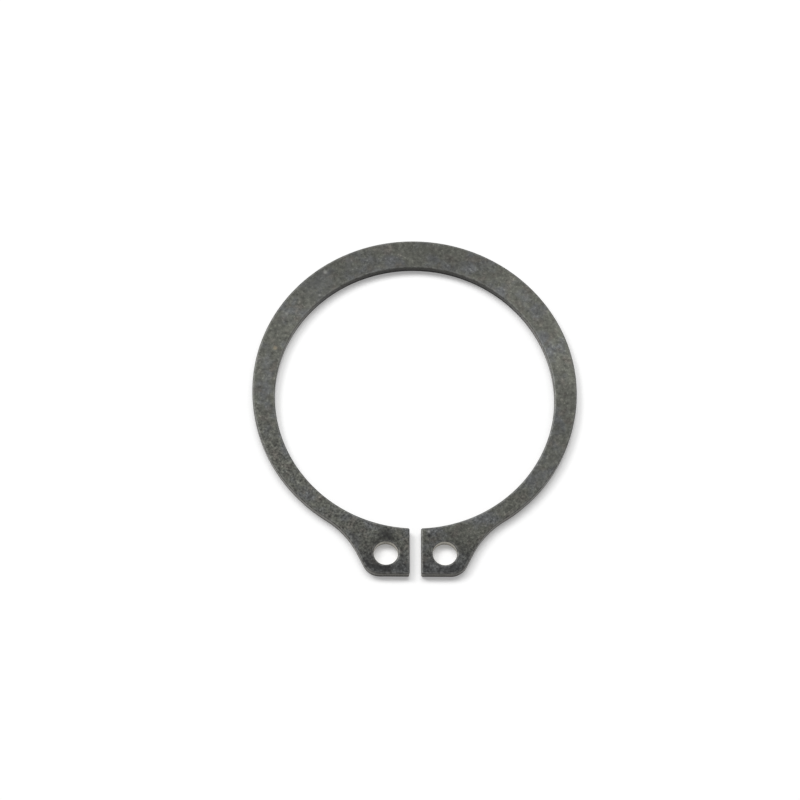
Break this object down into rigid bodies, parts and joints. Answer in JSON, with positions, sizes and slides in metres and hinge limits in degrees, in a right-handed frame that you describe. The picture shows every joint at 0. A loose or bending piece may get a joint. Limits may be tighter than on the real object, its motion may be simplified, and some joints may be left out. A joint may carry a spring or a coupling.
{
  "type": "external retaining ring",
  "caption": "Flat external retaining ring of phosphated spring steel, with a tapered beam and lugs with plier holes, that snaps into a shaft's groove and holds parts endwise.",
  "frame": {"origin": "on the axis of the seat, in the plane of the lower face that the ring lies on", "axes": "+Z along the axis of the shaft, up from the lower face; the gap between the lugs points to -Y, and X runs across the two lugs"},
  "size_m": [0.041, 0.0449, 0.0013],
  "materials": {
    "phosphated_steel": "dark phosphate coat on spring steel, lightly oiled, satin"
  },
  "bodies": {
    "root": {"retaining_ring": "phosphated_steel"}
  },
  "joints": []
}
